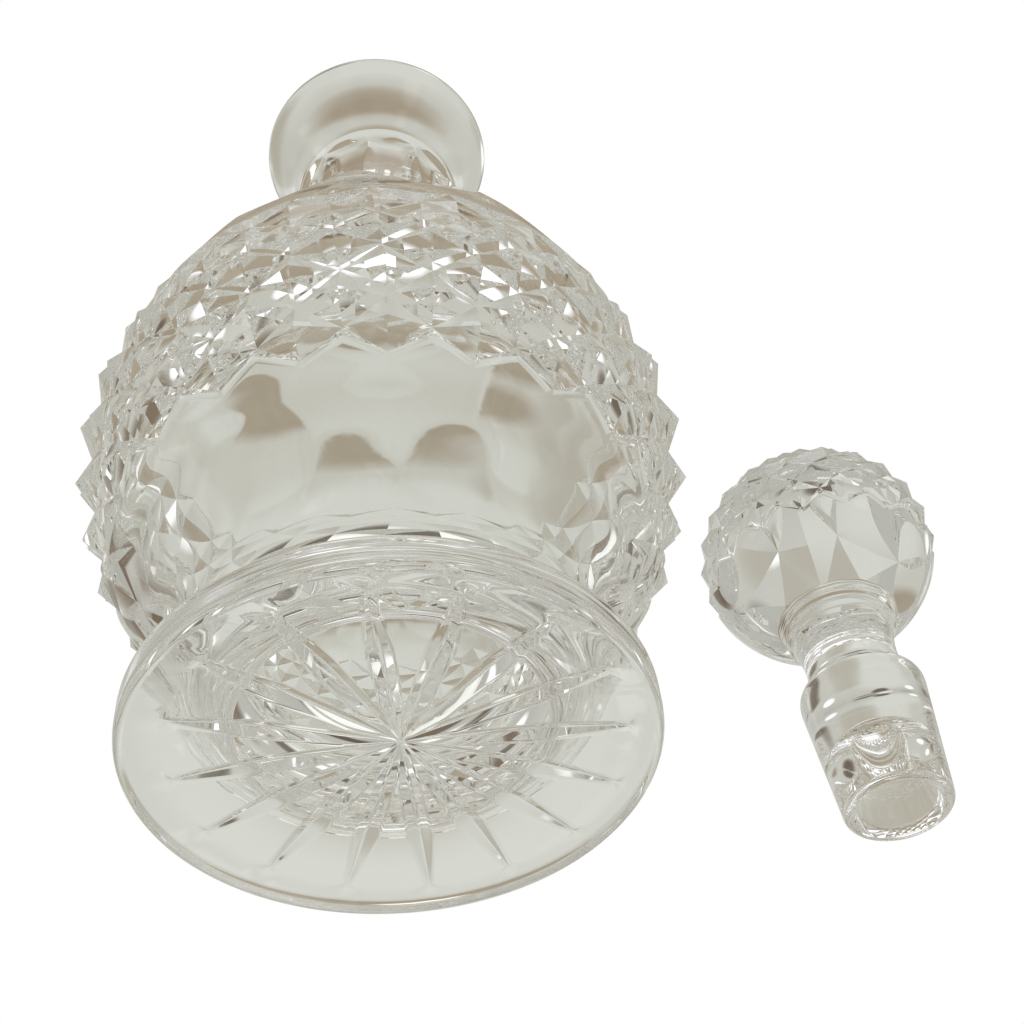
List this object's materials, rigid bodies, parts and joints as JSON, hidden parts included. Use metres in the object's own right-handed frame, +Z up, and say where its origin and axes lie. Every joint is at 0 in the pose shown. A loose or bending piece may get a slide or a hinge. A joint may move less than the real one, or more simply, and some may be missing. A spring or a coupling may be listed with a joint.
{
  "type": "wine decanter",
  "caption": "Footed cut-glass wine decanter: round bowl with a band of cut diamonds, flat-cut shoulder and neck, star-cut foot, flared lip, and a loose ball stopper standing beside it.",
  "frame": {"origin": "centre of the foot's underside, on the decanter's axis", "axes": "+Z up along the decanter's axis from the foot to the lip; the stopper stands beside the decanter on the +X side"},
  "size_m": [0.1918, 0.1302, 0.225],
  "materials": {
    "decanter_crystal": "polished clear lead crystal with a faint warm grey tint, cut facets slightly softer than the plain glass",
    "stopper_crystal": "polished clear lead crystal, the plug finely ground and polished"
  },
  "bodies": {
    "decanter_body": {"decanter": "decanter_crystal"},
    "stopper_body": {"stopper": "stopper_crystal"}
  },
  "joints": [
    {"name": "stopper_lift", "type": "slide", "parent": "decanter_body", "child": "stopper_body", "axis": [0, 0, 1], "range_m": [0, 0.25]}
  ]
}
